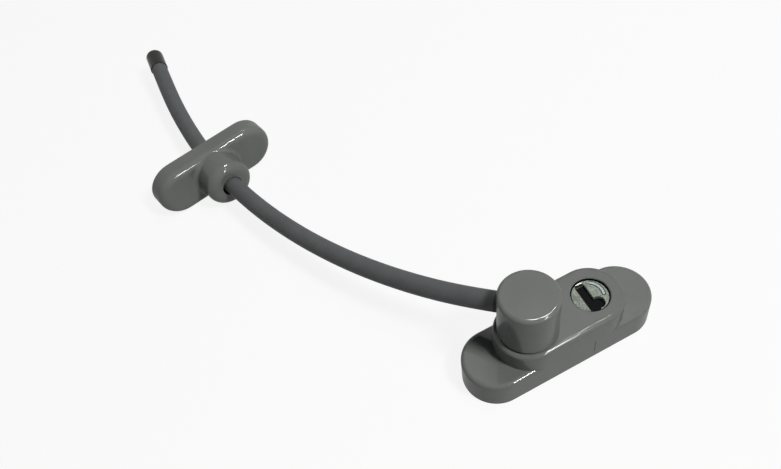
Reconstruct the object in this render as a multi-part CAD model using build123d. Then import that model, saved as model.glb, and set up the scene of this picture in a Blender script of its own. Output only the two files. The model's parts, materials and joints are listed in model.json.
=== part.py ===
"""Cable window restrictor: a screw-down lock body, a plug-in cable head and a sliding sash bracket.

Millimetres, +Z up. The origin is the middle of the lock body's mounting face and +X runs
along the body from the cable head towards the key.
"""
import math
import os

from build123d import *

# Lock body
BODY_LENGTH = 60.8
BODY_WIDTH = 19.4
STEP_HEIGHT = 9.3
BLOCK_HEIGHT = 16.0
HEAD_X = -10.2
LOCK_X = 10.6
EDGE_RADIUS = 1.3
RIM_CHAMFER = 0.25
BODY_WALL = 1.7
FLOOR_ROOM = 5.0
SLIT_X = 6.1
SLIT_SIZE = (0.3, 0.15, 6.0)
SLIT_Z = 5.3

# Base plate under the lock body
BASE_THICKNESS = 2.0
FIXING_SPACING = 44.0
FIXING_HOLE = 3.6
FIXING_HEAD = 6.6
TAB_X = 9.0
TAB_SIZE = (4.0, 0.8, 2.8)

# Keeper plate and its screws
KEEPER_THICKNESS = 1.5
KEEPER_WIDTH = 13.8
KEEPER_END_ROOM = 2.2
KEEPER_SCREW_X = -0.6
KEEPER_SCREW_Y = 5.4
SCREW_SHANK = 2.0
SCREW_HEAD = 3.6
SCREW_HEAD_HEIGHT = 1.0
SCREW_GRIP = 3.5

# Sliding bolt and its ball
BOLT_THICKNESS = 2.2
BOLT_WIDTH = 8.4
BOLT_NOSE_GAP = 0.35
BOLT_TAIL = 2.2
BALL_X = -1.0
BALL_DIAMETER = 2.4
BALL_SINK = 0.5
SPRING_LENGTH = 3.6
SPRING_WIRE = 0.4
SPRING_TURNS = 4

# Lock plug and keyway
PLUG_DIAMETER = 10.4
PLUG_GAP = 0.38
PLUG_RECESS = 0.8
FLANGE_DIAMETER = 13.2
FLANGE_THICKNESS = 1.4
WASHER_THICKNESS = 0.5
PIN_DIAMETER = 2.0
PIN_ORBIT = 2.0
PIN_REST_ANGLE = 45.0
KEY_ANGLE = -4.0
KEY_SLOT_WIDTH = 3.0
KEY_SLOT_X = -1.0
KEY_SLOT_FAR = 4.25
KEY_LOBE_DIAMETER = 3.9
KEY_LOBE_AT = (0.95, -2.85)
KEY_CORNER = 0.25
KEY_LEAD = (0.72, 0.48)
KEY_DEPTH = 4.1
KEY_CORE_HEIGHT = 3.1

# Cable head and its spigot
HEAD_DIAMETER = 17.1
HEAD_HEIGHT = 15.8
HEAD_LIFT = 0.5
HEAD_WALL = 1.8
HEAD_ROOF = 2.3
HEAD_EDGE_RADIUS = 1.1
SPIGOT_DIAMETER = 10.0
SPIGOT_BOTTOM = 4.2
SPIGOT_NECK = 6.4
SPIGOT_CHAMFER = 0.8
STEM_DIAMETER = 6.0
STEM_TOP_ROOM = 0.5
HEAD_DISC_THICKNESS = 1.6
CLIP_THICKNESS = 0.6
CLIP_DIAMETER = 8.8
CLIP_SEAT = 4.8
CLIP_MOUTH = 3.4
RING_DIAMETER = 15.8
RING_THICKNESS = 0.35

# Cable, chosen point by point along one even bend, and the ferrule on its free end
CABLE_DIAMETER = 6.0
CABLE_ROUTE = [
    (-9.1, 0.1, 25.8),
    (-20.4, 12.9, 21.9),
    (-34.3, 33.2, 17.2),
    (-45.9, 55.0, 13.5),
    (-55.0, 77.9, 10.8),
    (-61.5, 101.5, 9.2),
    (-65.3, 124.5, 8.7),
    (-66.5, 144.4, 9.0),
    (-66.2, 162.4, 9.9),
    (-64.8, 181.8, 11.4),
]
ARC_SHARE = 0.45
FERRULE_DIAMETER = 6.6
FERRULE_LENGTH = 9.2
FERRULE_OVERLAP = 6.1
FERRULE_ROUND = 2.0

# Sash bracket on the cable; it stands on its long edge, a little askew in its loose bore
BRACKET_RUN = 5
BRACKET_ALONG_RUN = 17.7
BRACKET_TURN = 2.8
BRACKET_SHIFT = -0.95
BRACKET_LENGTH = 44.8
BRACKET_MARGIN = 0.55
BRACKET_DEPTH = 6.9
BRACKET_WALL = 1.6
BRACKET_RECESS = 4.5
BRACKET_EDGE_RADIUS = 2.6
BOSS_DIAMETER = 16.5
BOSS_REACH = 9.6
BOSS_RIM_RADIUS = 3.0
BOSS_ROOT_RADIUS = 1.5
BOSS_BORE = 7.3
BOSS_BORE_LENGTH = 5.0
BRACKET_PLATE = 2.0
BRACKET_PLATE_BORE = 8.6
BRACKET_HOLE_SPACING = 28.0

# Clearances
PRESS = 0.05
SLIDE = 0.1
FREE = 0.2
LOOSE = 0.3

# Heights and places that follow from the sizes above
CAVITY_LENGTH = BODY_LENGTH - 2 * BODY_WALL
CAVITY_WIDTH = BODY_WIDTH - 2 * BODY_WALL
KEEPER_TOP = FLOOR_ROOM + KEEPER_THICKNESS
KEEPER_LENGTH = LOCK_X - HEAD_X + BODY_WIDTH - 2 * KEEPER_END_ROOM
BLOCK_MIDDLE = (HEAD_X + LOCK_X) / 2
BOLT_BOTTOM = KEEPER_TOP + SLIDE
BOLT_TOP = BOLT_BOTTOM + BOLT_THICKNESS
CHANNEL_TOP = BOLT_TOP + SLIDE
PLUG_BOTTOM = BOLT_TOP + FREE
FLANGE_TOP = PLUG_BOTTOM + FLANGE_THICKNESS
SHOULDER = FLANGE_TOP + WASHER_THICKNESS + 2 * PRESS
PLUG_TOP = BLOCK_HEIGHT - PLUG_RECESS
PIN_REST_X = PIN_ORBIT * math.cos(math.radians(PIN_REST_ANGLE))
PIN_REST_Y = PIN_ORBIT * math.sin(math.radians(PIN_REST_ANGLE))
BOLT_TRAVEL = 2 * PIN_REST_X
BOLT_NOSE_X = HEAD_X + SPIGOT_DIAMETER / 2 + BOLT_NOSE_GAP
BOLT_SLOT_X = LOCK_X + PIN_REST_X
BOLT_REAR_X = BOLT_SLOT_X + PIN_DIAMETER / 2 + FREE + BOLT_TAIL
BALL_Z = BOLT_TOP + BALL_DIAMETER / 2 - BALL_SINK
HEAD_BOTTOM = BLOCK_HEIGHT + HEAD_LIFT
HEAD_TOP = HEAD_BOTTOM + HEAD_HEIGHT
HEAD_BORE = HEAD_DIAMETER - 2 * HEAD_WALL
HEAD_CEILING = HEAD_TOP - HEAD_ROOF
DISC_BOTTOM = HEAD_BOTTOM + SLIDE
DISC_TOP = DISC_BOTTOM + HEAD_DISC_THICKNESS
CLIP_BOTTOM = DISC_TOP + SLIDE
CLIP_TOP = CLIP_BOTTOM + CLIP_THICKNESS
STEM_TOP = CLIP_TOP + STEM_TOP_ROOM
BRACKET_HEIGHT = BOSS_DIAMETER + 2 * BRACKET_MARGIN


def stadium(length, width, height):
    """Upright block with full-round ends, standing on z = 0."""
    return extrude(SlotOverall(length, width), height)


def rod(diameter, bottom, top):
    """Upright cylinder between two heights."""
    height = top - bottom
    return Pos(0, 0, bottom) * Cylinder(diameter / 2, height, align=(Align.CENTER, Align.CENTER, Align.MIN))


def ring(outer, inner, bottom, top):
    """Upright tube between two heights."""
    return rod(outer, bottom, top) - rod(inner, bottom, top)


def slab(size, bottom):
    """Rectangular block centred in plan, standing at a height."""
    return Pos(0, 0, bottom) * Box(*size, align=(Align.CENTER, Align.CENTER, Align.MIN))


def countersunk_hole(shank, head, thickness):
    """Cutter for a countersunk screw that enters a plate from its top."""
    sink = (head - shank) / 2
    cone = Pos(0, 0, thickness - sink) * Cone(
        shank / 2, head / 2, sink, align=(Align.CENTER, Align.CENTER, Align.MIN)
    )
    return rod(shank, -thickness, 2 * thickness) + cone


def key_outline(gap):
    """Keyhole in plan: a slot that runs out of the plug's near edge, and a round lobe beside it."""
    far = KEY_SLOT_FAR - gap
    near = -PLUG_DIAMETER / 2 - KEY_CORNER
    width = KEY_SLOT_WIDTH - 2 * gap
    slot = Pos(KEY_SLOT_X, (far + near) / 2) * RectangleRounded(width, far - near, KEY_CORNER)
    lobe = Pos(*KEY_LOBE_AT) * Circle(KEY_LOBE_DIAMETER / 2 - gap)
    return Rot(0, 0, KEY_ANGLE) * (slot + lobe)


def key_lead():
    """Cutter for the sloped lead-in at the far end of the keyhole's slot."""
    run, drop = KEY_LEAD
    foot = (KEY_SLOT_FAR, PLUG_TOP - drop)
    wedge = Polygon(foot, (KEY_SLOT_FAR + run, PLUG_TOP), (KEY_SLOT_FAR, PLUG_TOP), align=None)
    slope = extrude(Plane.YZ * wedge, KEY_SLOT_WIDTH / 2 - KEY_CORNER, both=True)
    return Rot(0, 0, KEY_ANGLE) * Pos(KEY_SLOT_X, 0, 0) * slope


# Lock housing: one casting, stepped at both ends and hollow from below
def rounded_top(solid, radius):
    """Round the edge that runs round a solid's top face."""
    return fillet(solid.faces().sort_by(Axis.Z)[-1].edges(), radius)


def lock_housing():
    base = rounded_top(stadium(BODY_LENGTH, BODY_WIDTH, STEP_HEIGHT), EDGE_RADIUS)
    block_length = LOCK_X - HEAD_X + BODY_WIDTH
    block = rounded_top(stadium(block_length, BODY_WIDTH, BLOCK_HEIGHT), EDGE_RADIUS)
    body = base + Pos(BLOCK_MIDDLE, 0, 0) * block
    body -= stadium(CAVITY_LENGTH, CAVITY_WIDTH, FLOOR_ROOM)
    keeper_pocket = stadium(KEEPER_LENGTH + 2 * SLIDE, KEEPER_WIDTH + 2 * SLIDE, KEEPER_TOP)
    body -= Pos(BLOCK_MIDDLE, 0, 0) * keeper_pocket
    channel_end = BOLT_REAR_X + FREE
    channel = slab((channel_end - HEAD_X, BOLT_WIDTH + 2 * SLIDE, CHANNEL_TOP), 0)
    body -= Pos((channel_end + HEAD_X) / 2, 0, 0) * channel
    body -= Pos(HEAD_X, 0, 0) * rod(SPIGOT_DIAMETER + 2 * SLIDE, 0, BLOCK_HEIGHT)
    body -= Pos(LOCK_X, 0, 0) * rod(FLANGE_DIAMETER + 2 * SLIDE, 0, SHOULDER)
    body -= Pos(LOCK_X, 0, 0) * rod(PLUG_DIAMETER + 2 * PLUG_GAP, 0, BLOCK_HEIGHT)
    spring_top = BALL_Z + BALL_DIAMETER / 2 + SPRING_LENGTH
    body -= Pos(BALL_X, 0, 0) * rod(BALL_DIAMETER + 2 * SLIDE, BOLT_TOP, spring_top)
    for side in (-1, 1):
        screw_hole = rod(SCREW_SHANK, 0, KEEPER_TOP + SCREW_GRIP)
        body -= Pos(KEEPER_SCREW_X, side * KEEPER_SCREW_Y, 0) * screw_hole
    body -= Pos(SLIT_X, -BODY_WIDTH / 2, SLIT_Z) * Box(SLIT_SIZE[0], 2 * SLIT_SIZE[1], SLIT_SIZE[2])
    rims = body.edges().filter_by(GeomType.CIRCLE).filter_by_position(Axis.Z, BLOCK_HEIGHT, BLOCK_HEIGHT)
    bores = [edge for edge in rims if edge.radius < BODY_WIDTH / 2 - EDGE_RADIUS]
    return chamfer(bores, RIM_CHAMFER)


def base_plate():
    plate = stadium(CAVITY_LENGTH - 2 * SLIDE, CAVITY_WIDTH - 2 * SLIDE, BASE_THICKNESS)
    tab_y = CAVITY_WIDTH / 2 - SLIDE - TAB_SIZE[1] / 2
    fixing_hole = countersunk_hole(FIXING_HOLE, FIXING_HEAD, BASE_THICKNESS)
    for end in (-1, 1):
        plate -= Pos(end * FIXING_SPACING / 2, 0, 0) * fixing_hole
        for side in (-1, 1):
            plate += Pos(end * TAB_X, side * tab_y, 0) * slab(TAB_SIZE, BASE_THICKNESS)
    return plate


def keeper_plate():
    plate = Pos(BLOCK_MIDDLE, 0, FLOOR_ROOM) * stadium(KEEPER_LENGTH, KEEPER_WIDTH, KEEPER_THICKNESS)
    plate -= Pos(HEAD_X, 0, 0) * rod(SPIGOT_DIAMETER + 2 * LOOSE, 0, KEEPER_TOP)
    for side in (-1, 1):
        plate -= Pos(KEEPER_SCREW_X, side * KEEPER_SCREW_Y, 0) * rod(SCREW_SHANK + 2 * SLIDE, 0, KEEPER_TOP)
    return plate


def keeper_screws():
    head_bottom = FLOOR_ROOM - SCREW_HEAD_HEIGHT
    head = rod(SCREW_HEAD, head_bottom, FLOOR_ROOM)
    head = fillet(head.faces().sort_by(Axis.Z)[0].edges(), SCREW_HEAD_HEIGHT / 2)
    screw = head + rod(SCREW_SHANK, FLOOR_ROOM, KEEPER_TOP + SCREW_GRIP)
    screw -= Pos(0, 0, head_bottom) * Box(SCREW_HEAD, SCREW_HEAD_HEIGHT / 2, SCREW_HEAD_HEIGHT)
    places = [Pos(KEEPER_SCREW_X, side * KEEPER_SCREW_Y, 0) for side in (-1, 1)]
    return Compound(children=[place * screw for place in places])


# Lock plug, keyway and sliding bolt
def lock_plug():
    plug = rod(FLANGE_DIAMETER, PLUG_BOTTOM, FLANGE_TOP) + rod(PLUG_DIAMETER, FLANGE_TOP, PLUG_TOP)
    plug += Pos(PIN_REST_X, PIN_REST_Y, 0) * rod(PIN_DIAMETER, BOLT_BOTTOM + FREE, PLUG_BOTTOM)
    plug -= Pos(0, 0, PLUG_TOP - KEY_DEPTH) * extrude(key_outline(0), KEY_DEPTH)
    return Pos(LOCK_X, 0, 0) * (plug - key_lead())


def keyway_core():
    outline = key_outline(PRESS) & Circle(PLUG_DIAMETER / 2 - PRESS)
    return Pos(LOCK_X, 0, PLUG_TOP - KEY_DEPTH) * extrude(outline, KEY_CORE_HEIGHT)


def plug_washer():
    washer_bottom = FLANGE_TOP + PRESS
    return Pos(LOCK_X, 0, 0) * ring(
        FLANGE_DIAMETER, PLUG_DIAMETER + 2 * FREE, washer_bottom, washer_bottom + WASHER_THICKNESS
    )


def locking_bolt():
    bar = slab((BOLT_REAR_X - BOLT_NOSE_X, BOLT_WIDTH, BOLT_THICKNESS), BOLT_BOTTOM)
    bolt = Pos((BOLT_REAR_X + BOLT_NOSE_X) / 2, 0, 0) * bar
    bolt -= Pos(HEAD_X + BOLT_TRAVEL, 0, 0) * rod(SPIGOT_NECK + 2 * LOOSE, 0, BLOCK_HEIGHT)
    slot_low = PIN_REST_Y - PIN_DIAMETER / 2 - FREE
    slot_high = PIN_ORBIT + PIN_DIAMETER / 2 + FREE
    slot = slab((PIN_DIAMETER + 2 * FREE, slot_high - slot_low, 2 * BLOCK_HEIGHT), 0)
    bolt -= Pos(BOLT_SLOT_X, (slot_high + slot_low) / 2, 0) * slot
    groove_radius = BALL_DIAMETER / 2 + PRESS
    groove_length = BOLT_TRAVEL + 2 * groove_radius
    groove = Rot(0, 90, 0) * Cylinder(groove_radius, groove_length)
    return bolt - Pos(BALL_X + BOLT_TRAVEL / 2, 0, BALL_Z) * groove


def detent_ball():
    return Pos(BALL_X, 0, BALL_Z) * Sphere(BALL_DIAMETER / 2)


def detent_spring():
    coil_radius = (BALL_DIAMETER - SPRING_WIRE) / 2 - SLIDE
    reach = (BALL_DIAMETER + SPRING_WIRE) / 2 + PRESS
    coil_bottom = BALL_Z + math.sqrt(reach**2 - coil_radius**2)
    coil_top = BALL_Z + BALL_DIAMETER / 2 + SPRING_LENGTH - SPRING_WIRE / 2 - PRESS
    coil_height = coil_top - coil_bottom
    path = Helix(coil_height / SPRING_TURNS, coil_height, coil_radius)
    section = Plane(path @ 0, z_dir=path % 0) * Circle(SPRING_WIRE / 2)
    return Pos(BALL_X, 0, coil_bottom) * sweep(section, path=path)


# Cable head and the spigot that it turns on
def cable_run(index):
    """Start point and unit direction of one run of the cable's route."""
    start = Vector(*CABLE_ROUTE[index])
    end = Vector(*CABLE_ROUTE[index + 1])
    return start, (end - start).normalized()


def bore_along(index, diameter, back, length):
    """Cylinder along one run of the route, from a distance behind the run's start."""
    start, direction = cable_run(index)
    origin = start - direction * back
    return extrude(Plane(origin, z_dir=direction) * Circle(diameter / 2), length)


def cable_head():
    head = rounded_top(rod(HEAD_DIAMETER, HEAD_BOTTOM, HEAD_TOP), HEAD_EDGE_RADIUS)
    head = chamfer(head.faces().sort_by(Axis.Z)[0].edges(), RIM_CHAMFER)
    head -= rod(HEAD_BORE, HEAD_BOTTOM, HEAD_CEILING)
    return Pos(HEAD_X, 0, 0) * head - bore_along(0, CABLE_DIAMETER + 2 * LOOSE, 0, HEAD_DIAMETER)


def head_base_disc():
    return Pos(HEAD_X, 0, 0) * ring(HEAD_BORE - 2 * PRESS, STEM_DIAMETER + 2 * SLIDE, DISC_BOTTOM, DISC_TOP)


def cable_anchor():
    drum = Pos(HEAD_X, 0, 0) * rod(HEAD_BORE - 2 * PRESS, STEM_TOP + FREE, HEAD_CEILING - SLIDE)
    return drum - bore_along(0, CABLE_DIAMETER + 2 * PRESS, PRESS, HEAD_DIAMETER)


def head_spigot():
    spigot = rod(SPIGOT_DIAMETER, SPIGOT_BOTTOM, HEAD_BOTTOM)
    spigot = chamfer(spigot.faces().sort_by(Axis.Z)[0].edges(), SPIGOT_CHAMFER)
    spigot -= ring(2 * SPIGOT_DIAMETER, SPIGOT_NECK, BOLT_BOTTOM - LOOSE, BOLT_TOP + LOOSE)
    spigot += rod(STEM_DIAMETER, HEAD_BOTTOM, STEM_TOP)
    spigot -= ring(2 * STEM_DIAMETER, CLIP_SEAT, CLIP_BOTTOM - PRESS, CLIP_TOP + PRESS)
    return Pos(HEAD_X, 0, 0) * spigot


def spigot_clip():
    clip = ring(CLIP_DIAMETER, CLIP_SEAT + 2 * PRESS, CLIP_BOTTOM, CLIP_TOP)
    clip -= Pos(CLIP_DIAMETER / 2, 0, 0) * slab((CLIP_DIAMETER, CLIP_MOUTH, CLIP_TOP), 0)
    return Pos(HEAD_X, 0, 0) * clip


def head_ring():
    bottom = BLOCK_HEIGHT + PRESS
    top = bottom + RING_THICKNESS
    return Pos(HEAD_X, 0, 0) * ring(RING_DIAMETER, SPIGOT_DIAMETER + 2 * SLIDE, bottom, top)


# Cable and ferrule
def cable_path():
    """Straight runs joined by tangent arcs, each as large as its two runs allow."""
    points = [Vector(*point) for point in CABLE_ROUTE]
    runs = [end - start for start, end in zip(points, points[1:])]
    radii = []
    for before, after in zip(runs, runs[1:]):
        half_turn = math.radians(before.get_angle(after)) / 2
        radii.append(ARC_SHARE * min(before.length, after.length) / math.tan(half_turn))
    print("cable bend radii", [round(radius, 1) for radius in radii])
    return FilletPolyline(*points, radius=radii)


def cable():
    path = cable_path()
    section = Plane(path @ 0, z_dir=path % 0) * Circle(CABLE_DIAMETER / 2)
    tube = sweep(section, path=path)
    expected = math.pi * CABLE_DIAMETER**2 / 4 * path.length
    print("cable length", round(path.length, 1), "volume ratio", round(tube.volume / expected, 4))
    return tube


def end_ferrule():
    last = len(CABLE_ROUTE) - 2
    _, direction = cable_run(last)
    end = Vector(*CABLE_ROUTE[-1])
    mouth = Plane(end - direction * FERRULE_OVERLAP, z_dir=direction)
    cap = rounded_top(rod(FERRULE_DIAMETER, 0, FERRULE_LENGTH), FERRULE_ROUND)
    cap -= rod(CABLE_DIAMETER + 2 * PRESS, 0, FERRULE_OVERLAP + PRESS)
    return mouth * cap


# Sash bracket: a moulded cover with a boss over a screw-down plate
def bracket_plane():
    """Mounting face of the bracket: +Z leaves the face along the cable and +X is level."""
    start, direction = cable_run(BRACKET_RUN)
    outward = direction.rotate(Axis.Z, BRACKET_TURN)
    level = Vector(outward.Y, -outward.X, 0).normalized()
    origin = start + direction * BRACKET_ALONG_RUN + level * BRACKET_SHIFT
    return Plane(origin, x_dir=level, z_dir=outward)


def bracket_cover():
    """Built face up with its mounting side on z = 0, then turned over onto that face."""
    boss_front = BRACKET_DEPTH + BOSS_REACH
    body = rounded_top(stadium(BRACKET_LENGTH, BRACKET_HEIGHT, BRACKET_DEPTH), BRACKET_EDGE_RADIUS)
    body += rounded_top(rod(BOSS_DIAMETER, BRACKET_RECESS, boss_front), BOSS_RIM_RADIUS)
    walls = body.faces().filter_by(GeomType.CYLINDER)
    boss_wall = [wall for wall in walls if math.isclose(wall.radius, BOSS_DIAMETER / 2)][0]
    root = [edge for edge in boss_wall.edges() if edge.bounding_box().max.Z < BRACKET_DEPTH + PRESS]
    body = fillet(root, BOSS_ROOT_RADIUS)
    body -= stadium(BRACKET_LENGTH - 2 * BRACKET_WALL, BRACKET_HEIGHT - 2 * BRACKET_WALL, BRACKET_RECESS)
    body -= rod(BRACKET_PLATE_BORE, 0, boss_front - BOSS_BORE_LENGTH)
    body -= rod(BOSS_BORE, 0, boss_front)
    return bracket_plane() * Rot(180, 0, 0) * body


def bracket_base():
    length = BRACKET_LENGTH - 2 * BRACKET_WALL - 2 * SLIDE
    height = BRACKET_HEIGHT - 2 * BRACKET_WALL - 2 * SLIDE
    plate = stadium(length, height, BRACKET_PLATE)
    for end in (-1, 1):
        hole = countersunk_hole(FIXING_HOLE, FIXING_HEAD, BRACKET_PLATE)
        plate -= Pos(end * BRACKET_HOLE_SPACING / 2, 0, 0) * hole
    plate -= rod(BRACKET_PLATE_BORE, 0, BRACKET_PLATE)
    return bracket_plane() * Rot(180, 0, 0) * plate


PIECES = [
    lock_housing,
    base_plate,
    keeper_plate,
    keeper_screws,
    lock_plug,
    keyway_core,
    plug_washer,
    locking_bolt,
    detent_ball,
    detent_spring,
    cable_head,
    head_base_disc,
    cable_anchor,
    head_spigot,
    spigot_clip,
    head_ring,
    cable,
    end_ferrule,
    bracket_cover,
    bracket_base,
]

os.makedirs("parts", exist_ok=True)
for piece in PIECES:
    export_step(piece(), os.path.join("parts", piece.__name__ + ".step"))
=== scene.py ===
# %% [markdown]
# # A cable window restrictor
# The object is a lock body that screws to a window frame, a cable whose head plugs into it, and a
# bracket that slides on the cable and screws to the sash. Every solid piece comes from the packed
# model. They could be modelled again here, but then two shapes would drift apart, so this lesson
# only adds what a solid can't say: the finishes, the cable's smooth line, the arrow on the lock,
# the light and the camera. Places come from the joints and mounts of the same model.

# %% Load the frame
import json
import math

import bmesh
import bpy
from mathutils import Matrix, Vector


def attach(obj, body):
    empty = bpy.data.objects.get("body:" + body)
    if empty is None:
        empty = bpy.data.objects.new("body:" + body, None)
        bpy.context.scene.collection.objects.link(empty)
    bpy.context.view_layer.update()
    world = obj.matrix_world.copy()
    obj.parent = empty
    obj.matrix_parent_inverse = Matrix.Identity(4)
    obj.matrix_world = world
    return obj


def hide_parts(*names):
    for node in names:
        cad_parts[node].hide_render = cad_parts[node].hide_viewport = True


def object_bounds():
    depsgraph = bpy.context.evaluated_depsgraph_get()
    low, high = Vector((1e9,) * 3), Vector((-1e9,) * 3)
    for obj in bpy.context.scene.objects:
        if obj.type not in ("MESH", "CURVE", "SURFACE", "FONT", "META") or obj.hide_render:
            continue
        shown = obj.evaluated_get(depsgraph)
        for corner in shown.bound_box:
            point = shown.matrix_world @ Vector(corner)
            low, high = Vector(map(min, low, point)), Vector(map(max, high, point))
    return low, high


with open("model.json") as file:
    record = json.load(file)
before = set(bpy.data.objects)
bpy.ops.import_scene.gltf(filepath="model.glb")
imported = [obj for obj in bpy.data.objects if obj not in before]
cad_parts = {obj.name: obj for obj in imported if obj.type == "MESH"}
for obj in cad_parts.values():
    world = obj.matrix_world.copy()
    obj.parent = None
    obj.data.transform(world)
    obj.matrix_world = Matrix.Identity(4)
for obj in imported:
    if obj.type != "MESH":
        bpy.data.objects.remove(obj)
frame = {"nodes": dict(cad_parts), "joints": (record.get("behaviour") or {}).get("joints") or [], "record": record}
CAD_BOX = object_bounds()
NODES = frame["nodes"]
PIVOTS = {joint["name"]: Vector(joint["pos_m"]) for joint in frame["joints"] if "pos_m" in joint}
MOUNTS = {mount["name"]: Vector(mount["pos_m"]) for mount in frame["record"]["mounts"]}
print("loaded", len(NODES), "nodes, box", [[round(v, 4) for v in corner] for corner in CAD_BOX])

# %% [markdown]
# ## Camera
# The photograph looks down on the lock from close by, so the far end of the cable looks small. A
# camera was fitted to the outline of the body and to the way the even cable narrows. It could be
# placed by aiming at a point, but a yaw, a pitch and a roll say plainly how it was held.

# %% Camera at the photograph's angle
IMAGE_WIDTH = 781
SENSOR_MM = 36.0
FOCAL_PIXELS = 804.4
NEAREST_SEEN = 0.005
CAMERA_AT = Vector((-0.07825, -0.0950, 0.2095))
CAMERA_YAW = math.radians(19.44)
CAMERA_PITCH = math.radians(51.66)
CAMERA_ROLL = math.radians(-10.35)


def turned(side, up, back):
    """The turn that puts an object's own X, Y and Z along three directions."""
    return Matrix((side, up, back)).transposed().to_4x4()


def photo_camera():
    """A camera that looks down by the pitch, right of +Y by the yaw, and leans by the roll."""
    sin_yaw, cos_yaw = math.sin(CAMERA_YAW), math.cos(CAMERA_YAW)
    level = math.cos(CAMERA_PITCH)
    ahead = Vector((sin_yaw * level, cos_yaw * level, -math.sin(CAMERA_PITCH)))
    right = Matrix.Rotation(CAMERA_ROLL, 3, -ahead) @ Vector((cos_yaw, -sin_yaw, 0.0))
    data = bpy.data.cameras.new("photo_camera")
    data.sensor_width = SENSOR_MM
    data.lens = FOCAL_PIXELS / IMAGE_WIDTH * SENSOR_MM
    data.clip_start = NEAREST_SEEN
    camera = bpy.data.objects.new("photo_camera", data)
    camera.matrix_world = Matrix.Translation(CAMERA_AT) @ turned(right, right.cross(ahead), -ahead)
    bpy.context.scene.collection.objects.link(camera)
    return camera


bpy.context.scene.camera = photo_camera()
print("camera lens", round(bpy.context.scene.camera.data.lens, 2), "mm")

# %% [markdown]
# ## Shader maths as Python
# A finish is a small sum: a base colour plus a little noise, a roughness that varies. Nodes could
# be wired one by one, but then the sum is hard to read. Here one class wraps a socket, so that
# `1 - mask` or `grain * 0.2` adds the Math node by itself, and one method makes any other node.


# %% A socket that does sums
class Wire:
    """A node socket with arithmetic. Its node() method makes any node in the same tree."""

    def __init__(self, tree, socket=None):
        self.tree = tree
        self.socket = socket

    def node(self, kind, settings=(), inputs=(), output=0):
        """A new node: its settings first, then the values or links of its sockets."""
        made = self.tree.nodes.new(kind)
        for name, value in dict(settings).items():
            setattr(made, name, value)
        for name, value in dict(inputs).items():
            if isinstance(value, Wire):
                self.tree.links.new(value.socket, made.inputs[name])
            else:
                made.inputs[name].default_value = value
        return Wire(self.tree, made.outputs[output])

    def other(self, output):
        """Another output of the same node."""
        return Wire(self.tree, self.socket.node.outputs[output])

    def math(self, operation, first, second):
        return self.node("ShaderNodeMath", {"operation": operation}, {0: first, 1: second})

    def __add__(self, other):
        return self.math("ADD", self, other)

    def __sub__(self, other):
        return self.math("SUBTRACT", self, other)

    def __rsub__(self, other):
        return self.math("SUBTRACT", other, self)

    def __mul__(self, other):
        return self.math("MULTIPLY", self, other)

    __radd__ = __add__
    __rmul__ = __mul__


print("a socket can add, subtract and multiply")

# %% [markdown]
# ## Masks, noise and colours
# Real surfaces are never one flat colour. Every finish below is mottled the same way: noise makes
# a tone, a smooth mask stretches it, and a Mix node blends a darker and a lighter colour by it. A
# Math node could not do that last step, because it turns a colour grey.

# %% Masks, noise and colours
MIX_FACTOR, MIX_FIRST, MIX_SECOND, MIX_RESULT = 0, 6, 7, 2
WHITE = (1.0, 1.0, 1.0, 1.0)


def between(value, low, high):
    """Smooth mask: 0 below low, 1 above high."""
    settings = {"interpolation_type": "SMOOTHSTEP"}
    inputs = {"Value": value, "From Min": low, "From Max": high}
    return value.node("ShaderNodeMapRange", settings, inputs)


def noise(place, size, detail=3.0, roughness=0.5):
    """Noise whose grains are about size metres across."""
    inputs = {"Vector": place, "Scale": 1.0 / size, "Detail": detail, "Roughness": roughness}
    return place.node("ShaderNodeTexNoise", {}, inputs)


def linear(level):
    """One channel of a screen colour, 0 to 255, as a shader's linear value, by the sRGB curve."""
    share = level / 255
    return ((share + 0.055) / 1.055) ** 2.4 if share > 0.04045 else share / 12.92


def srgb(red, green, blue):
    """A colour written as on a screen."""
    return (linear(red), linear(green), linear(blue), 1.0)


def shade(colour, share):
    """The same colour, lighter or darker."""
    return (*[c * share for c in colour[:3]], 1.0)


def mix_colours(factor, first, second):
    """Blend of two colours; factor is a Wire."""
    inputs = {MIX_FACTOR: factor, MIX_FIRST: first, MIX_SECOND: second}
    return factor.node("ShaderNodeMix", {"data_type": "RGBA"}, inputs, output=MIX_RESULT)


def mottle(tone, colour, contrast):
    """The colour, darker by the contrast where the tone is 0 and lighter where it is 1."""
    return mix_colours(tone, shade(colour, 1 - contrast), shade(colour, 1 + contrast))


print("half grey on a screen is", round(linear(128), 3), "in a shader")

# %% [markdown]
# ## A new finish
# Every finish starts the same way: a Principled shader and the surface's own place in metres. The
# place could come from Generated coordinates, but those stretch with a piece's box. Object
# coordinates keep real sizes, and they move with a piece when a joint moves it.


# %% A new finish
class Finish:
    """A material, its Principled shader and the place on the surface."""

    def __init__(self, name):
        self.material = bpy.data.materials.new(name)
        self.material.use_nodes = True
        self.tree = self.material.node_tree
        self.shader = next(n for n in self.tree.nodes if n.type == "BSDF_PRINCIPLED")
        self.place = Wire(self.tree).node("ShaderNodeTexCoord", output="Object")

    def set(self, **values):
        """Link or set the shader's sockets, with _ for each space in a socket's name."""
        for name, value in values.items():
            socket = self.shader.inputs[name.replace("_", " ")]
            if isinstance(value, Wire):
                self.tree.links.new(value.socket, socket)
            else:
                socket.default_value = value

    def bump(self, height, distance):
        inputs = {"Height": height, "Distance": distance}
        self.set(Normal=self.place.node("ShaderNodeBump", {}, inputs))

    def done(self):
        print("finish", self.material.name, "has", len(self.tree.nodes), "nodes")
        return self.material


print("a finish has a Principled shader and a place in metres")

# %% [markdown]
# ## Grey coat
# The body, the head and the bracket are castings with a baked grey coat: smooth, half gloss, with
# a faint orange peel. A flat grey looks like a toy, so the colour drifts a little over the surface,
# fine specks break it up, and the peel is a low bump. One glossy layer could not be both soft and
# sharp, so the grey itself is nearly matt and a thin hard clear coat of low weight lies over it:
# it mirrors the lamps as fine bright lines and leaves the flat faces calm.

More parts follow.
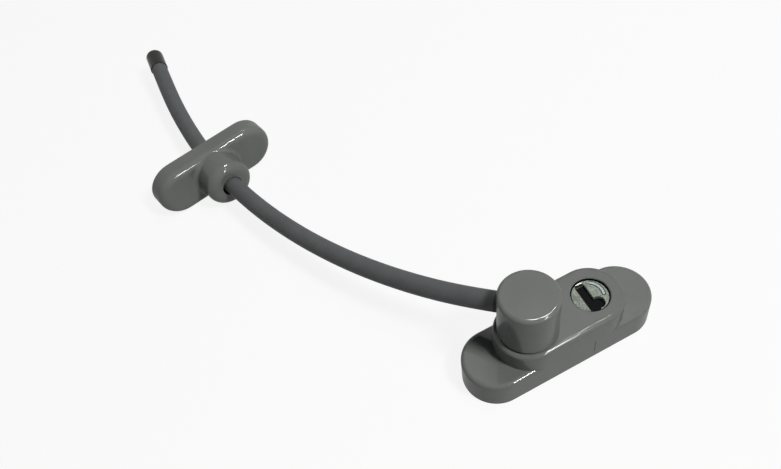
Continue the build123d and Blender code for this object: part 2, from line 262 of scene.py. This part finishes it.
# %% Grey coat
GREY = srgb(117, 120, 117)
DRIFT_SIZE = 0.012
SPECK_SIZE = 0.00022
PEEL_SIZE = 0.0009
PEEL_DEPTH = 0.0000012


def grey_coat():
    finish = Finish("grey_coat")
    drift = noise(finish.place, DRIFT_SIZE)
    speck = noise(finish.place, SPECK_SIZE, detail=1.0)
    tone = between(drift * 0.7 + speck * 0.3, 0.3, 0.7)
    finish.set(Base_Color=mottle(tone, GREY, 0.07))
    finish.set(Roughness=0.36 + drift * 0.08, Specular_IOR_Level=0.05)
    finish.set(Coat_Weight=0.13, Coat_Roughness=0.06, Coat_IOR=2.5)
    finish.bump(noise(finish.place, PEEL_SIZE, detail=1.0), PEEL_DEPTH)
    return finish.done()


GREY_COAT = grey_coat()

# %% [markdown]
# ## Cable jacket
# The jacket is extruded plastic, matte and slightly blue next to the coat. Fine grain in the bump
# kills the gloss, and broad soft noise keeps the long run from looking printed. Where the cable
# goes into the head no light gets in. A deeper hole could be cut, but the jacket fills it, so the
# jacket itself is painted black there as painted shade, by its distance from the head's axis.

# %% Cable jacket
JACKET = srgb(98, 99, 100)
JACKET_CLOUD = 0.006
JACKET_GRAIN = 0.0003
GRAIN_DEPTH = 0.00002
HEAD_AXIS = PIVOTS["head_swivel"]
SHADE_WITHIN = 0.0093
SHADE_ENDS_BEYOND = 0.0097


def cable_jacket():
    finish = Finish("cable_jacket")
    cloud = noise(finish.place, JACKET_CLOUD)
    grain = noise(finish.place, JACKET_GRAIN, detail=2.0)
    tone = between(cloud * 0.6 + grain * 0.4, 0.32, 0.68)
    # Painted shade: the jacket is painted black close to the head's axis, where the hole's shade lies.
    x = finish.place.node("ShaderNodeSeparateXYZ", {}, {"Vector": finish.place}, output="X")
    across, along = x - HEAD_AXIS.x, x.other("Y") - HEAD_AXIS.y
    clear_of_shade = between(across * across + along * along, SHADE_WITHIN**2, SHADE_ENDS_BEYOND**2)
    finish.set(Base_Color=mix_colours(clear_of_shade, shade(JACKET, 0.03), mottle(tone, JACKET, 0.1)))
    finish.set(Roughness=0.52 + grain * 0.16, Specular_IOR_Level=0.22)
    finish.bump(grain, GRAIN_DEPTH)
    return finish.done()


GREY_JACKET = cable_jacket()

# %% [markdown]
# ## Plain plastics
# The ferrule and the inside of the keyhole are glossy black, the ring under the head is dull. Each
# could have a recipe of its own, but only the colour, the gloss and the wear differ, so one
# function makes them all: fine scuffs lighten the colour and dull the gloss in patches.

# %% Plain plastics
SCUFF_SIZE = 0.0012


def plastic(name, colour, roughness, scuffing=0.12, mirror=0.1):
    finish = Finish(name)
    scuff = between(noise(finish.place, SCUFF_SIZE, detail=4.0), 0.5, 0.75)
    finish.set(Base_Color=mix_colours(scuff, colour, shade(colour, 1.5)))
    finish.set(Roughness=roughness + scuff * scuffing, Specular_IOR_Level=mirror)
    return finish.done()


BLACK_GLOSS = plastic("black_gloss", srgb(12, 13, 16), roughness=0.08, scuffing=0.04, mirror=0.08)
BLACK_TRIM_AND_SHADE = plastic("black_trim", srgb(16, 16, 16), roughness=0.55)
FERRULE_BLACK = plastic("ferrule_black", srgb(36, 39, 30), roughness=0.16, mirror=0.25)

# %% [markdown]
# ## Metals
# The plug's face is blasted zinc: pale, with a fine bright grain. The hidden pieces are plated
# steel, smoother, with faint cloudy patches. A picture of a metal could be laid on, but it would
# stretch and repeat. Both are the same noise recipe with other numbers.

# %% Metals
METAL_CLOUD = 0.004


def metal(name, colour, grain_size, grain_depth, roughness, contrast=0.15):
    finish = Finish(name)
    grain = noise(finish.place, grain_size, roughness=0.7)
    cloud = noise(finish.place, METAL_CLOUD)
    tone = between(grain * 0.75 + cloud * 0.25, 0.3, 0.7)
    finish.set(Base_Color=mottle(tone, colour, contrast))
    finish.set(Metallic=1.0, Roughness=roughness + grain * 0.15)
    finish.bump(grain, grain_depth)
    return finish.done()


PLUG_METAL = metal(
    "plug_metal",
    srgb(124, 130, 122),
    grain_size=0.0004,
    grain_depth=0.00003,
    roughness=0.7,
    contrast=0.7,
)
PLATED_STEEL = metal(
    "plated_steel", srgb(176, 178, 174), grain_size=0.0008, grain_depth=0.000005, roughness=0.3
)

# %% [markdown]
# ## Dress the solids
# Each solid keeps its shape and gets the finish of its record slot, so nothing is left plain. A
# list of names would do too, but the record already says which piece has which slot, and asking it
# keeps the two in step. Only the ferrule has a black of its own.

# %% Dress the solids
FINISHES = {
    "grey_paint": GREY_COAT,
    "grey_jacket": GREY_JACKET,
    "black_gloss": BLACK_GLOSS,
    "black_trim": BLACK_TRIM_AND_SHADE,
    "plug_metal": PLUG_METAL,
    "steel": PLATED_STEEL,
}
OWN_FINISH = {"end_ferrule": FERRULE_BLACK}
for entry in frame["record"]["subparts"]:
    solid = NODES[entry["node"]]
    solid.data.materials.clear()
    solid.data.materials.append(OWN_FINISH.get(entry["node"], FINISHES[entry["material_slot"]]))
print("dressed", len(NODES), "solids in", len(FINISHES), "finishes")

# %% [markdown]
# ## The slope at the keyhole
# The plug's face is blasted, but the slope at the keyhole's end is cut afterwards. It could be a
# piece of its own, but it is a face of the plug, so only its finish is another one: the faces are
# chosen by their tilt. By the height, its lower part is painted shade, dark in the keyhole's depth,
# and near the face it is a paler, smoother metal that mirrors the lamp as a thin glint.

# %% The slope at the keyhole
PLUG_FACE = MOUNTS["keyway"]
SHADE_FADES_FROM = 0.00014
SHADE_GONE_AT = 0.00008
SLOPE_TILT = (0.6, 0.95)


def slope_painted_shade():
    """Painted shade, dark in the depth; a paler, smoother metal near the plug's face."""
    finish = Finish("slope_painted_shade")
    height = finish.place.node("ShaderNodeSeparateXYZ", {}, {"Vector": finish.place}, output="Z")
    # Painted shade: below this height the slope is dark, above it a paler metal.
    out_of_shade = between(height, PLUG_FACE.z - SHADE_FADES_FROM, PLUG_FACE.z - SHADE_GONE_AT)
    finish.set(Base_Color=mix_colours(out_of_shade, srgb(24, 25, 26), srgb(160, 163, 159)))
    finish.set(Metallic=1.0, Roughness=0.6 - out_of_shade * 0.2)
    return finish.done()


def finish_faces(solid, finish, chosen):
    """Give the faces that the test chooses a second finish."""
    solid.data.materials.append(finish)
    second = len(solid.data.materials) - 1
    faces = [face for face in solid.data.polygons if chosen(face)]
    for face in faces:
        face.material_index = second
    print(solid.name, "has", len(faces), "faces in", finish.name)


def is_slope(face):
    return SLOPE_TILT[0] < face.normal.z < SLOPE_TILT[1]


finish_faces(NODES["lock_plug"], slope_painted_shade(), is_slope)

# %% [markdown]
# ## Bore and slit
# The bore's wall round the plug is painted black, as painted shade for the deep shade in the narrow
# gap, which draws the black line round the plug. The slit in the front wall is so shallow that it
# should be a faint line, but it lies in its own shade and would look black, so its faces get a paler
# grey, painted light that lifts that shade. Lamps could be moved for it, but the paler grey is enough.

# %% Bore and slit
LOCK_AXIS = PIVOTS["key_turn"].xy
BORE_REACH = 0.0060
WALL_TILT = 0.3
SLIT_X = 0.0061
SLIT_REACH = 0.0002
SLIT_FLOOR = -0.0095
SLIT_TOP = 0.0085
FRONT_WALL = -0.00969


# The bore's wall round the plug, painted black as painted shade.
def is_shaded_bore(face):
    return abs(face.normal.z) < WALL_TILT and (face.center.xy - LOCK_AXIS).length < BORE_REACH


def is_slit(face):
    """The slit lies just behind the front wall, below the step's rounded edge."""
    x, y, z = face.center
    return abs(x - SLIT_X) < SLIT_REACH and FRONT_WALL < y < SLIT_FLOOR and z < SLIT_TOP


# Painted shade: the bore's wall gets the black trim finish.
finish_faces(NODES["lock_housing"], BLACK_TRIM_AND_SHADE, is_shaded_bore)
# Painted light: the slit's faces get a paler grey against the groove's own shade.
finish_faces(NODES["lock_housing"], plastic("slit_painted_light", shade(GREY, 1.9), roughness=0.5), is_slit)

# %% [markdown]
# ## The cable
# A cable is one smooth line with a round section. A mesh tube would show its rings, so this is a
# spline with a bevel. The points are the same route that the solid follows, as control points of a
# spline that starts and ends on its end points.

# %% The cable
CABLE_DIAMETER = 0.0060
CABLE_ROUTE = [
    (-0.0091, 0.0001, 0.0258),
    (-0.0204, 0.0129, 0.0219),
    (-0.0343, 0.0332, 0.0172),
    (-0.0459, 0.0550, 0.0135),
    (-0.0550, 0.0779, 0.0108),
    (-0.0615, 0.1015, 0.0092),
    (-0.0653, 0.1245, 0.0087),
    (-0.0665, 0.1444, 0.0090),
    (-0.0662, 0.1624, 0.0099),
    (-0.0648, 0.1818, 0.0114),
]
SPLINE_ORDER = 3
STEPS_ALONG = 16
STEPS_AROUND = 10


def smooth_line(name, points):
    """Open spline whose control points are given, pinned at its ends."""
    curve = bpy.data.curves.new(name, "CURVE")
    curve.dimensions = "3D"
    spline = curve.splines.new("NURBS")
    spline.points.add(len(points) - 1)
    for control, point in zip(spline.points, points):
        control.co = (*point, 1.0)
    spline.order_u = SPLINE_ORDER
    spline.use_endpoint_u = True
    spline.resolution_u = STEPS_ALONG
    return curve


def cable_piece():
    curve = smooth_line("cable_line", CABLE_ROUTE)
    curve.bevel_depth = CABLE_DIAMETER / 2
    curve.bevel_resolution = STEPS_AROUND
    curve.use_fill_caps = True
    curve.materials.append(GREY_JACKET)
    piece = bpy.data.objects.new("cable_jacket", curve)
    bpy.context.scene.collection.objects.link(piece)
    return piece


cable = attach(cable_piece(), "head")
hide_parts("cable")

# %% [markdown]
# ## The arrow on the lock
# A curved arrow on the plug's face shows which way the key turns: a pale band with a dark outline.
# It could be painted by the shader, but then the mesh would be bare, so it is two thin
# plates of one shape, the dark one a little wider under the pale one. Both turn with the plug.

# %% The arrow's outline
ARROW_CENTRE = Vector((-0.0001, 0.0004, 0.0))
ARROW_RADIUS = 0.00415
ARROW_FROM = -24.0
ARROW_TO = 50.0
ARROW_POINT = 14.0
ARROW_STEPS = 24
TAIL_STEPS = 9


def around(centre, radius, degrees):
    """The point on a level circle at an angle."""
    angle = math.radians(degrees)
    return centre + Vector((radius * math.cos(angle), radius * math.sin(angle), 0.0))


def arrow_outline(half):
    """A ring sector of the given half width, round at its start and pointed at its end."""
    sweep = [ARROW_FROM + (ARROW_TO - ARROW_FROM) * i / ARROW_STEPS for i in range(ARROW_STEPS + 1)]
    outer = [around(ARROW_CENTRE, ARROW_RADIUS + half, a) for a in sweep]
    inner = [around(ARROW_CENTRE, ARROW_RADIUS - half, a) for a in reversed(sweep)]
    tip = around(ARROW_CENTRE, ARROW_RADIUS, ARROW_TO + ARROW_POINT)
    start = around(ARROW_CENTRE, ARROW_RADIUS, ARROW_FROM)
    turns = [180.0 * i / TAIL_STEPS for i in range(1, TAIL_STEPS)]
    tail = [around(start, half, ARROW_FROM - 180.0 + turn) for turn in turns]
    return outer + [tip] + inner + tail


print("arrow from", ARROW_FROM, "to", ARROW_TO + ARROW_POINT, "degrees")

# %% The arrow's two plates
LINE_HALF, LINE_HEIGHT = 0.00060, 0.00003
BAND_HALF, BAND_HEIGHT = 0.00034, 0.00007


def arrow_plate(name, half, height, finish):
    """The arrow's outline raised to a thin plate on the plug's face."""
    mesh = bmesh.new()
    face = mesh.faces.new([mesh.verts.new(p) for p in arrow_outline(half)])
    raised = bmesh.ops.extrude_face_region(mesh, geom=[face])
    lifted = [v for v in raised["geom"] if isinstance(v, bmesh.types.BMVert)]
    bmesh.ops.translate(mesh, vec=(0.0, 0.0, height), verts=lifted)
    bmesh.ops.recalc_face_normals(mesh, faces=mesh.faces)
    data = bpy.data.meshes.new(name)
    mesh.to_mesh(data)
    mesh.free()
    data.materials.append(finish)
    piece = bpy.data.objects.new(name, data)
    piece.location = PLUG_FACE
    bpy.context.scene.collection.objects.link(piece)
    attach(piece, "plug")
    print(name, "has", len(data.polygons), "faces")


PALE_METAL = metal(
    "pale_metal", srgb(140, 148, 147), grain_size=0.0006, grain_depth=0.000004, roughness=0.6
)
DARK_LINE = plastic("dark_line", srgb(40, 45, 44), roughness=0.5)
arrow_plate("arrow_line", LINE_HALF, LINE_HEIGHT, DARK_LINE)
arrow_plate("turn_arrow", BAND_HALF, BAND_HEIGHT, PALE_METAL)

# %% [markdown]
# ## Floor
# The photograph has a white ground. More light would make a grey floor white, but it would bleach
# the object too. So the floor stays a mid grey for the light, and Light Path mixes in a white glow
# for what the camera and mirrors see. The part that isn't glow still takes the object's shadow.

# %% Floor
FLOOR_SIZE = 6.0
FLOOR_DROP = 0.0001
GROUND_GREY = (0.42, 0.42, 0.42, 1.0)
GROUND_GLOW = 0.72
GROUND_WHITE = 1.22
BLEND_SHARE, BLEND_FIRST, BLEND_SECOND = 0, 1, 2


def seen_rays(wire):
    """1 for a ray from the camera, or one that a mirror or a clear piece sends on."""
    path = wire.node("ShaderNodeLightPath", output="Is Camera Ray")
    return path + path.other("Is Glossy Ray") + path.other("Is Transmission Ray")


def white_ground():
    finish = Finish("white_ground")
    finish.set(Base_Color=GROUND_GREY, Roughness=0.9, Specular_IOR_Level=0.0)
    glow = finish.place.node("ShaderNodeEmission", {}, {"Color": WHITE, "Strength": GROUND_WHITE})
    lit = Wire(finish.tree, finish.shader.outputs["BSDF"])
    share = seen_rays(finish.place) * GROUND_GLOW
    inputs = {BLEND_SHARE: share, BLEND_FIRST: lit, BLEND_SECOND: glow}
    blend = finish.place.node("ShaderNodeMixShader", {}, inputs)
    output = next(n for n in finish.tree.nodes if n.type == "OUTPUT_MATERIAL")
    finish.tree.links.new(blend.socket, output.inputs["Surface"])
    return finish.done()


def floor_piece():
    half = FLOOR_SIZE / 2
    corners = [(-half, -half, 0), (half, -half, 0), (half, half, 0), (-half, half, 0)]
    data = bpy.data.meshes.new("floor")
    data.from_pydata(corners, [], [(0, 1, 2, 3)])
    data.materials.append(white_ground())
    piece = bpy.data.objects.new("floor", data)
    piece.location.z = CAD_BOX[0][2] - FLOOR_DROP
    bpy.context.scene.collection.objects.link(piece)
    return piece


floor_piece()
print("floor", FLOOR_SIZE, "m square")

# %% [markdown]
# ## Lamps
# The photograph has soft shading and, beside it, thin bright lines on the rounded edges. One lamp
# could hardly give both: a soft box draws wide pale lines, and a strip casts hard light. So two
# soft boxes light the surfaces and aren't mirrored, and three strips are only mirrored. The low
# and the middle strip lie in one line with a gap between them, which parts the bracket's bright
# line in two, and the high strip draws the line along the block and the head's rim.

# %% Lamps
LAMPS_AIM_AT = Vector((-0.02, 0.05, 0.01))
ALONG_X = Vector((1.0, 0.0, 0.0))
ALONG_RISE = Vector((0.10, 0.42, 0.36))
BOXES = {
    "front_box": {"at": (0.25, -0.42, 0.81), "size": (0.16, 0.16), "power": 5.5},
    "top_box": {"at": (0.26, 0.10, 0.92), "size": (0.30, 0.30), "power": 1.3},
}
STRIPS = {
    "low_strip": {
        "at": (0.201, -0.610, 0.495),
        "size": (0.24, 0.05),
        "power": 2.8,
        "along": ALONG_RISE,
    },
    "middle_strip": {
        "at": (0.266, -0.340, 0.726),
        "size": (0.12, 0.05),
        "power": 1.8,
        "along": ALONG_RISE,
    },
    "high_strip": {"at": (0.285, 0.25, 0.87), "size": (0.21, 0.06), "power": 4.5},
}


def lamp(name, at, size, power, along=ALONG_X):
    """A flat lamp that faces the object, its long side along a direction."""
    data = bpy.data.lights.new(name, "AREA")
    data.shape = "RECTANGLE"
    data.size, data.size_y = size
    data.energy = power
    made = bpy.data.objects.new(name, data)
    back = (Vector(at) - LAMPS_AIM_AT).normalized()
    side = (along - back * back.dot(along)).normalized()
    made.matrix_world = Matrix.Translation(at) @ turned(side, back.cross(side), back)
    bpy.context.scene.collection.objects.link(made)
    return made


for name, box in BOXES.items():
    lamp(name, **box).visible_glossy = False
for name, strip in STRIPS.items():
    lamp(name, **strip).visible_diffuse = False
print("soft boxes", list(BOXES), "and strips", list(STRIPS))

# %% [markdown]
# ## World
# From a low view the world shows above the floor's edge. A plain dim world would be a dark band
# there, and a plain white one would be one more lamp. As on the floor, Light Path makes it white
# to the camera and in mirrors, and leaves it dim as a light.

# %% World
WORLD_LIGHT = 0.05
WORLD_WHITE = 0.95


def white_world():
    world = bpy.data.worlds.new("studio")
    world.use_nodes = True
    strength = WORLD_LIGHT + seen_rays(Wire(world.node_tree)) * (WORLD_WHITE - WORLD_LIGHT)
    background = world.node_tree.nodes["Background"]
    background.inputs["Color"].default_value = WHITE
    world.node_tree.links.new(strength.socket, background.inputs["Strength"])
    return world


bpy.context.scene.world = white_world()
bpy.context.scene.view_settings.view_transform = "Standard"
print("world", WORLD_LIGHT, "as a light and", WORLD_WHITE, "to the camera")
